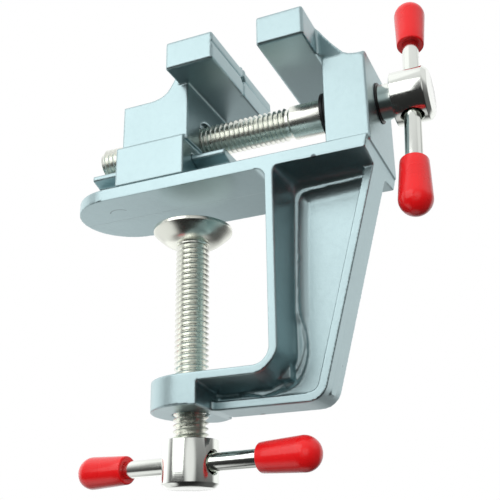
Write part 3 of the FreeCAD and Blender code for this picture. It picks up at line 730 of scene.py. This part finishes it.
def reshapeFrame(bm):
    # the rim leans less, the arm's foot lies lower and the throat's corner is tighter than in the solid
    use = reshapeSettings
    for place in (use["armStart"], (use["armStart"] + use["armFull"]) / 2, use["armFull"]):
        bmesh.ops.bisect_plane(bm, geom=bm.verts[:] + bm.edges[:] + bm.faces[:], dist=1e-4,
                               plane_co=(place, 0, 0), plane_no=(1, 0, 0))
    moved = 0
    for vert in bm.verts:
        x, y, z = vert.co
        across, up = x - use["cornerCentre"][0], z - use["cornerCentre"][1]
        reach = math.hypot(across, up)
        outside = reach - use["cornerRadius"]
        if across > -use["near"] and up < use["near"] and -use["near"] < outside < use["cornerReach"]:
            wayX, wayZ = across / reach, up / reach
            thinner = use["cornerThinner"] * clampShare(outside / use["cornerFlange"])
            thinner *= (2 * wayX * wayZ) ** 2
            vert.co.x += use["cornerTighter"] * (1 - wayX) - thinner * wayX
            vert.co.z += use["cornerTighter"] * (-1 - wayZ) - thinner * wayZ
            moved += 1
        elif z < use["rimTop"]:
            weight = clampShare((x - use["rimStart"]) / (use["rimFull"] - use["rimStart"]))
            vert.co.x += weight * min(use["rimShift"] + use["rimSlope"] * z, use["rimMost"])
        if z < use["armBelow"]:
            weight = clampShare((x - use["armStart"]) / (use["armFull"] - use["armStart"]))
            vert.co.z += use["armShift"] * weight
    print("throat corner:", moved, "points moved")


def bossCutter():
    # rounds the boss's far corner behind the screw and trims the flange to the boss's round nose
    use = cutSettings
    radius, beyond, (x, y) = use["bossRadius"], use["beyond"], use["bossCorner"]
    outline = [(x + beyond, y + beyond), (x - radius, y + beyond)]
    outline += arcPoints((x - radius, y - radius), radius, 90, 0, 12) + [(x + beyond, y - radius)]
    bm = makeColumn(outline, use["bossHeights"])
    middle, radius = use["nose"]
    for sign in (-1, 1):
        outline = arcPoints((middle, 0), radius, 90 * sign, 130 * sign, 14)
        outline += [(outline[-1][0], (radius + beyond) * sign), (middle, (radius + beyond) * sign)]
        joinInto(bm, makeColumn(outline, use["noseHeights"]))
    return bm


def jawCutter():
    # the open ring round the vise screw where it leaves the sliding jaw
    start, stop, radius = cutSettings["jawRing"]
    bm = spinProfile([(start, 0), (start, radius), (stop, radius), (stop, 0)])
    bm.transform(Matrix.Translation((0, 0, joints["vise_screw_turn"]["pos_m"][2] / mm)))
    return bm


def softenedCopy(node, name, extras=(), reshape=None, cutter=None):
    # the CAD solid with what is fused to it, remeshed so that its edges are softly rounded
    use = castingSettings
    bm = bmesh.new()
    bm.from_mesh(frame["nodes"][node].data)
    bm.transform(Matrix.Scale(1 / mm, 4))
    bmesh.ops.remove_doubles(bm, verts=bm.verts[:], dist=use["weld"])
    if cutter:
        solid = makeObject("solid", bm)
        cutAway(solid, makeObject("cutter", cutter))
        bm = bmesh.new()
        bm.from_mesh(solid.data)
        bm.transform(Matrix.Scale(1 / mm, 4))
        bpy.data.objects.remove(solid)
    if reshape:
        reshape(bm)
    for extra in extras:
        joinInto(bm, extra)
    obj = makeObject(name, bm)
    remesh = obj.modifiers.new("remesh", "REMESH")
    remesh.mode = "VOXEL"
    remesh.voxel_size = use["voxel"] * mm
    smooth = obj.modifiers.new("smooth", "SMOOTH")
    smooth.factor = use["smoothFactor"]
    smooth.iterations = use["smoothRounds"]
    applyModifiers(obj)
    triangles = 2 * len(obj.data.polygons)
    if triangles > use["mostTriangles"]:
        thinned = obj.modifiers.new("thinned", "DECIMATE")
        thinned.ratio = use["mostTriangles"] / triangles
        applyModifiers(obj)
    shadeSmooth(obj, use["sharpFrom"])
    print(name, len(obj.data.polygons), "faces, from", triangles, "triangles")
    return obj


castFrame = softenedCopy("frame_casting", "castFrame", [
    makeRelief(-1), makeRelief(1),
    makePrism(fillSettings["fixedFillet"]), makePrism(fillSettings["fixedPost"])],
    reshape=reshapeFrame, cutter=bossCutter())
finishPiece(castFrame, "frame", castingPaint, ["frame_casting"])
castJaw = softenedCopy("movable_jaw", "castJaw", [
    makePrism(fillSettings["slidingFillet"]), makePrism(fillSettings["slidingPost"]), *makeGrooveFills()],
    cutter=jawCutter())
finishPiece(castJaw, "jaw", castingPaint, ["movable_jaw"])
print("castings made")


# threads

threadSettings = {
    "pitch": 1.25,
    "crest": 3.90,
    "root": 3.14,
    "steps": 40,             # per turn
    "spareTurns": 3,         # cut off again at the ends
    "weld": 0.004,
    "chamferFoot": 0.05,     # of the chamfer at a rod's end, over the root
    "chamferSlope": 1.2,
    # one pitch from root to root, as shares of the pitch and of the depth, with rolled crests
    "outline": [(0.0, 0.0), (0.09, 0.05), (0.36, 0.72), (0.43, 0.93), (0.50, 1.0), (0.57, 0.93), (0.64, 0.72),
                (0.91, 0.05), (1.0, 0.0)],
}


def trimAt(bm, place, side):
    # cuts the helix square and closes the cut
    kept = bmesh.ops.bisect_plane(bm, geom=bm.verts[:] + bm.edges[:] + bm.faces[:], dist=1e-5,
                                  plane_co=(place, 0, 0), plane_no=(side, 0, 0), clear_outer=True)
    rim = [item for item in kept["geom_cut"] if isinstance(item, bmesh.types.BMEdge)]
    bmesh.ops.holes_fill(bm, edges=rim, sides=0)


def threadedRod(start, stop, chamfered=False):
    use = threadSettings
    pitch, root, steps = use["pitch"], use["root"], use["steps"]
    turns = math.ceil((stop - start) / pitch) + use["spareTurns"]
    depth = use["crest"] - root
    bm = bmesh.new()
    verts = [bm.verts.new((start - 2 * pitch + part * pitch, root + depth * rise, 0))
             for part, rise in use["outline"]]
    edges = [bm.edges.new(pair) for pair in zip(verts, verts[1:])]
    bmesh.ops.spin(bm, geom=verts + edges, cent=(0, 0, 0), axis=(1, 0, 0), dvec=(pitch / steps, 0, 0),
                   angle=math.tau * turns, steps=steps * turns, use_merge=False)
    bmesh.ops.remove_doubles(bm, verts=bm.verts[:], dist=use["weld"])
    trimAt(bm, start, -1)
    trimAt(bm, stop, 1)
    bmesh.ops.recalc_face_normals(bm, faces=bm.faces[:])
    for vert in bm.verts if chamfered else ():
        limit = root + use["chamferFoot"] + (vert.co.x - start) * use["chamferSlope"]
        away = math.hypot(vert.co.y, vert.co.z)
        if away > limit:
            vert.co.y *= limit / away
            vert.co.z *= limit / away
    return bm


# vise screw, its head and washers

viseAxis = Vector(joints["vise_screw_turn"]["pos_m"]) / mm
viseBarWay = Vector(joints["vise_handle_slide"]["axis"])
screwLow, screwHigh = boxOf("vise_screw")
headLow, headHigh = boxOf("vise_screw_head")

viseScrewSettings = {
    "threadStop": 25.0,
    "overlap": 0.3,          # of the thread and the turned part
    "reliefStop": 26.0,
    "reliefRadius": 3.4,
    "reliefRun": 0.5,        # of the slope from the relief up to the collar
    "collarRadius": 4.0,
    "journalRadius": 3.3,
    "journalStart": 34.15,
    "edge": 0.15,
}
headSettings = {
    "neckRadius": 4.15,
    "neckLength": 2.9,
    "chamfer": 0.9,
    "edge": 0.16,
    "boreRadius": 3.3,
    "crossHole": 2.15,
    # the hole's rounded mouth: from the head's surface outwards, and how much wider it is there
    "mouth": [(-1.5, 0.0), (-0.75, 0.1), (-0.35, 0.3), (0.0, 0.55), (1.5, 1.45)],
    "holeFromEnd": 4.3,
}


def crossCutter(way, centre, reach):
    # a pin with flared ends, for a cross hole with rounded mouths
    flare = [(reach + along, headSettings["crossHole"] + wider) for along, wider in headSettings["mouth"]]
    points = [(-along, away) for along, away in reversed(flare)] + flare
    points = [(points[0][0], 0)] + points + [(points[-1][0], 0)]
    return makeObject("cutter", spinProfile(points, 64), alongAxis(centre, way))


def makeViseScrew():
    use = viseScrewSettings
    bm = threadedRod(screwLow.x, use["threadStop"], chamfered=True)
    start, end = use["threadStop"] - use["overlap"], screwHigh.x
    turned = spinProfile([
        (start, 0), (start, use["reliefRadius"]),
        (use["reliefStop"], use["reliefRadius"]), (use["reliefStop"] + use["reliefRun"], use["collarRadius"]),
        (use["journalStart"], use["collarRadius"]), (use["journalStart"], use["journalRadius"]),
        (end, use["journalRadius"]), (end, 0)])
    bevelSharp(turned, use["edge"])
    joinInto(bm, turned)
    obj = makeObject("viseScrewRod", bm, alongAxis(Vector((0, 0, viseAxis.z)), (1, 0, 0)))
    shadeSmooth(obj)
    finishPiece(obj, "vise_spindle", rolledX, ["vise_screw"])


def makeViseHead():
    use = headSettings
    start = headLow.x - washerSettings["outer_washer"]["thin"]
    radius = (headHigh.y - headLow.y) / 2
    shoulder, end = headLow.x + use["neckLength"], headHigh.x
    bm = spinProfile([
        (start, use["boreRadius"]), (start, use["neckRadius"]), (shoulder, use["neckRadius"]),
        (shoulder, radius), (end - use["chamfer"], radius), (end, radius - use["chamfer"]), (end, 0),
        (screwHigh.x, 0), (screwHigh.x, use["boreRadius"]), (start, use["boreRadius"])])
    bevelSharp(bm, use["edge"])
    obj = makeObject("viseScrewHead", bm, alongAxis(Vector((0, 0, viseAxis.z)), (1, 0, 0)))
    centre = Vector((end - use["holeFromEnd"], 0, viseAxis.z))
    cutAway(obj, crossCutter(viseBarWay, centre, radius))
    shadeSmooth(obj)
    finishPiece(obj, "vise_spindle", platingX, ["vise_screw_head"])


washerSettings = {
    "steel_washer": {"name": "steelWasher", "radius": 5.25, "edge": 0.12, "thin": 0,
                     "slot": "black_steel", "finish": blackSteel},
    "friction_washer": {"name": "frictionWasher", "radius": 5.2, "edge": 0.35, "thin": 0,
                        "slot": "black_rubber", "finish": blackRubber},
    "outer_washer": {"name": "outerWasher", "radius": 4.75, "edge": 0.1, "thin": 0.3,
                     "slot": "black_steel", "finish": blackSteel},
}
washerPlay = 0.1


def makeWashers():
    for node, use in washerSettings.items():
        low, high = boxOf(node)
        high.x -= use["thin"]
        radius, bore = use["radius"], viseScrewSettings["journalRadius"] + washerPlay
        bm = spinProfile([(low.x, bore), (low.x, radius), (high.x, radius), (high.x, bore), (low.x, bore)])
        bevelSharp(bm, use["edge"])
        obj = makeObject(use["name"], bm, alongAxis(Vector((0, 0, viseAxis.z)), (1, 0, 0)))
        shadeSmooth(obj)
        finishPiece(obj, "frame", use["finish"], [node])


makeViseScrew()
makeViseHead()
makeWashers()
print("vise screw made")


# clamp screw, its head and pad

clampBarWay = Vector(joints["clamp_handle_slide"]["axis"])
padLow, padHigh = boxOf("clamp_pad")
clampHeadLow, clampHeadHigh = boxOf("clamp_screw_head")

clampSettings = {
    "holeFromTop": 4.9,
    "spigotRadius": 2.5,
    "play": 0.05,            # between the pad and what holds it
    "holePlay": 0.1,
    "overlap": 1.0,          # of the thread and the spigot
    "sunk": 0.4,             # of the thread in the head
    "rivet": [(0.0, 3.5), (0.35, 3.4), (0.6, 2.6), (0.6, 0.0)],      # height and radius
    "recess": 1.3,
    "recessRadius": 4.2,
    "headRadius": 6.15,
    "rim": 0.8,
    # the bowl under the pad: radius and depth under its face
    "bowl": [(4.2, 4.0), (5.1, 3.85), (6.1, 3.5), (6.9, 3.0), (7.6, 2.4), (8.4, 1.7), (9.05, 1.1)],
    "hubRadius": 4.0,
    "edge": 0.15,
    "edgeFrom": 50,          # degrees; the bowl's own steps aren't bevelled
    "seat": 2.25,            # how deep the rod is pressed into the head
}
upwards = Matrix.Rotation(math.radians(-90), 4, "Y")     # turns a lathe-made piece's X axis to +Z


def makeClampScrew():
    use = clampSettings
    top = padLow.z - use["play"]
    bm = threadedRod(clampHeadHigh.z - use["sunk"], top)
    rivet = padHigh.z - use["recess"] + use["play"]
    start = top - use["overlap"]
    neck = spinProfile([(start, 0), (start, use["spigotRadius"]), (rivet, use["spigotRadius"]),
                        *[(rivet + rise, radius) for rise, radius in use["rivet"]]])
    joinInto(bm, neck)
    seat, radius = clampHeadHigh.z - use["seat"], headSettings["boreRadius"]
    joinInto(bm, spinProfile([(seat, 0), (seat, radius), (clampHeadHigh.z, radius), (clampHeadHigh.z, 0)]))
    obj = makeObject("clampScrewRod", bm, upwards)
    shadeSmooth(obj)
    finishPiece(obj, "clamp_spindle", rolledZ, ["clamp_screw"])


def makeClampHead():
    use = headSettings
    low, high, radius = clampHeadLow.z, clampHeadHigh.z, clampSettings["headRadius"]
    seat = high - clampSettings["seat"]
    bm = spinProfile([
        (high, use["boreRadius"]), (high, radius), (low + use["chamfer"], radius),
        (low, radius - use["chamfer"]), (low, 0), (seat, 0), (seat, use["boreRadius"]),
        (high, use["boreRadius"])])
    bevelSharp(bm, use["edge"])
    obj = makeObject("clampScrewHead", bm, upwards)
    cutAway(obj, crossCutter(clampBarWay, Vector((0, 0, high - clampSettings["holeFromTop"])), radius))
    shadeSmooth(obj)
    finishPiece(obj, "clamp_spindle", platingZ, ["clamp_screw_head"])


def makePad():
    use = clampSettings
    top, low, radius = padHigh.z, padLow.z, (padHigh.x - padLow.x) / 2
    hole, floor = use["spigotRadius"] + use["holePlay"], top - use["recess"]
    bowl = [(top - depth, away) for away, depth in use["bowl"]]
    bm = spinProfile([
        (low, hole), (low, use["hubRadius"]), (bowl[0][0], use["hubRadius"]), *bowl,
        (top - use["rim"], radius), (top, radius), (top, use["recessRadius"]), (floor, use["recessRadius"]),
        (floor, hole), (low, hole)], 128)
    bevelSharp(bm, use["edge"], limit=use["edgeFrom"])
    obj = makeObject("clampPad", bm, upwards)
    shadeSmooth(obj)
    finishPiece(obj, "pad", satinZ, ["clamp_pad"])


makeClampScrew()
makeClampHead()
makePad()
print("clamp screw made")


# handle bars and their caps

handleSettings = {
    "barRadius": 1.9,
    "barEdge": 0.3,
    "halfLength": 26.0,
    "capPlay": 0.02,         # between a cap and its bar
    "capInside": (1.2, 0.1),     # how far in a cap's bore starts, and where the lip meets it
    "capStart": 17.7,
    "capShoulder": 27.7,
    "mouthRadius": 3.15,
    "domeRadius": 3.65,
    "lip": 0.35,
    "taperShares": (0.25, 0.5, 0.75, 0.95),
}
handles = {
    "vise": {"body": "vise_handle", "way": viseBarWay, "bar": "vise_handle_bar", "plating": platingZ,
             "caps": [("viseCapUpper", "vise_cap_upper", 1), ("viseCapLower", "vise_cap_lower", -1)]},
    "clamp": {"body": "clamp_handle", "way": clampBarWay, "bar": "clamp_handle_bar", "plating": platingX,
              "caps": [("clampCapRight", "clamp_cap_right", 1), ("clampCapLeft", "clamp_cap_left", -1)]},
}


def makeBar(name, handle, centre):
    use = handleSettings
    half, radius = use["halfLength"], use["barRadius"]
    bm = spinProfile([(-half, 0), (-half, radius), (half, radius), (half, 0)], 64)
    bevelSharp(bm, use["barEdge"])
    obj = makeObject(name, bm, alongAxis(centre, handle["way"]))
    shadeSmooth(obj)
    finishPiece(obj, handle["body"], handle["plating"], [handle["bar"]])


def makeCap(name, node, handle, centre, sign):
    use = handleSettings
    start, shoulder, dome, mouth = use["capStart"], use["capShoulder"], use["domeRadius"], use["mouthRadius"]
    bore = use["barRadius"] + use["capPlay"]
    outline = [(start + inside, bore) for inside in use["capInside"]]
    outline += arcPoints((start + use["lip"], mouth - use["lip"]), use["lip"], 180, 92, 5)
    outline += [(start + (shoulder - start) * part, mouth + (dome - mouth) * part)
                for part in use["taperShares"]]
    outline += arcPoints((shoulder, 0), dome, 88, 0, 15)
    outline[-1] = (outline[-1][0], 0)
    outline += [(use["halfLength"], 0), (use["halfLength"], bore), outline[0]]
    bm = spinProfile(outline, 72)
    obj = makeObject(name, bm, alongAxis(centre, handle["way"] * sign))
    shadeSmooth(obj, 50)
    finishPiece(obj, handle["body"], redVinyl, [node])


for prefix, handle in handles.items():
    low, high = boxOf(handle["bar"])
    centre = (low + high) / 2
    makeBar(prefix + "Bar", handle, centre)
    for name, node, sign in handle["caps"]:
        makeCap(name, node, handle, centre, sign)
print("handles made")


# floor, light and camera

stageSettings = {
    "floorHeight": -105.0,
    "floorSize": 4000.0,
    "floorColour": (0.86, 0.87, 0.87),
    "floorRoughness": 0.9,
}
cameraSettings = {
    "place": (83.63, -159.80, -81.27),
    "aim": (14.62, 0.0, -13.73),
    "roll": -0.88,
    "lens": 59.04,
    "sensor": 36,
    "clip": (0.01, 10),      # metres
}
lampSettings = {
    "frontSoftbox": {"place": (-190, -420, 170), "aim": (10, 0, -10), "size": (460, 460), "power": 1.0},
    # this one lights only what is matt, so it leaves no image in the metal
    "mattFill": {"place": (160, -520, -60), "aim": (10, 0, -20), "size": (500, 500), "power": 2.8,
                 "matt": True},
}
roomSettings = {
    "walls": [(0.0, 0.08), (0.45, 0.13), (0.70, 0.32), (0.88, 0.75), (1.0, 0.85)],      # from below to above
    "shade": ((0.05, -0.70, -0.70), 0.30, 0.75, 0.75),     # where it is darkest, below in front
    # soft pale surfaces round the object: direction, where each starts and is full, and its level
    "cards": {
        "sweep": ((-0.35, 0.75, 0.55), 0.27, 0.75, 1.0),
        "left": ((-0.92, 0.20, 0.32), 0.70, 0.95, 1.45),
        "lowLeft": ((-0.62, 0.70, -0.35), 0.93, 0.985, 1.2),
        "backRight": ((0.45, 0.88, 0.10), 0.85, 0.97, 1.05),
        "ceiling": ((-0.40, -0.10, 0.91), 0.82, 0.95, 1.1),
        "rightUp": ((0.70, 0.10, 0.70), 0.80, 0.96, 0.8),
        "frontRight": ((0.42, -0.88, 0.16), 0.88, 0.97, 0.85),
        "lowSide": ((-0.88, 0.25, -0.40), 0.85, 0.96, 0.9),
        "table": ((-0.20, 0.40, -0.88), 0.90, 0.98, 0.6),
        "lowFront": ((-0.74, -0.14, -0.66), 0.92, 0.98, 0.9),
    },
}


def makeFloor():
    bm = bmesh.new()
    bmesh.ops.create_grid(bm, x_segments=1, y_segments=1, size=stageSettings["floorSize"] / 2)
    obj = makeObject("paleFloor", bm, Matrix.Translation((0, 0, stageSettings["floorHeight"])))
    material, tree, shader, place = newMaterial("paleFloor")
    shader.inputs["Base Color"].default_value = (*stageSettings["floorColour"], 1)
    shader.inputs["Roughness"].default_value = stageSettings["floorRoughness"]
    obj.data.materials.append(material)
    obj.visible_glossy = False       # metal shows the room instead, and the floor keeps the shadow
    obj.visible_diffuse = False


def areaLight(name, place, aim, size, power, matt=False):
    light = bpy.data.lights.new(name, "AREA")
    light.shape = "RECTANGLE"
    light.size, light.size_y = size[0] * mm, size[1] * mm
    light.energy = power
    obj = bpy.data.objects.new(name, light)
    scene.collection.objects.link(obj)
    spot = Vector(place)
    obj.location = spot * mm
    obj.rotation_euler = (Vector(aim) - spot).to_track_quat("-Z", "Y").to_euler()
    obj.visible_glossy = not matt


def makeWorld():
    world = bpy.data.worlds.new("studio")
    scene.world = world
    world.use_nodes = True
    tree = world.node_tree
    background = tree.nodes["Background"]
    way = tree.nodes.new("ShaderNodeTexCoord").outputs["Generated"]

    def facing(axis):
        dot = tree.nodes.new("ShaderNodeVectorMath")
        dot.operation = "DOT_PRODUCT"
        dot.inputs[1].default_value = Vector(axis).normalized()
        tree.links.new(way, dot.inputs[0])
        return dot.outputs["Value"]

    height = mathNode(tree, "ADD", mathNode(tree, "MULTIPLY", facing((0, 0, 1)), 0.5), 0.5)
    room = rampNode(tree, height, roomSettings["walls"])

    def patch(axis, start, full, level):
        inside = mathNode(tree, "SUBTRACT", facing(axis), start)
        return mathNode(tree, "MULTIPLY", mathNode(tree, "DIVIDE", inside, full - start, clamp=True), level)

    room = mathNode(tree, "MULTIPLY", room, mathNode(tree, "SUBTRACT", 1.0, patch(*roomSettings["shade"])))
    for card in roomSettings["cards"].values():
        room = mathNode(tree, "MAXIMUM", room, patch(*card))
    path = tree.nodes.new("ShaderNodeLightPath")
    seen = mixColour(tree, path.outputs["Is Camera Ray"], room, (1.0, 1.0, 1.0))
    tree.links.new(seen, background.inputs["Color"])


def makeCamera():
    use = cameraSettings
    data = bpy.data.cameras.new("camera")
    data.lens = use["lens"]
    data.sensor_width = use["sensor"]
    data.clip_start, data.clip_end = use["clip"]
    obj = bpy.data.objects.new("camera", data)
    scene.collection.objects.link(obj)
    place, aim = Vector(use["place"]) * mm, Vector(use["aim"]) * mm
    look = (aim - place).normalized()
    turned = look.to_track_quat("-Z", "Y").to_matrix().to_4x4()
    roll = Matrix.Rotation(math.radians(use["roll"]), 4, "Z")
    obj.matrix_world = Matrix.Translation(place) @ turned @ roll
    scene.camera = obj


makeFloor()
for name, use in lampSettings.items():
    areaLight(name, **use)
makeWorld()
makeCamera()
scene.view_settings.view_transform = "Standard"
print("stage made")
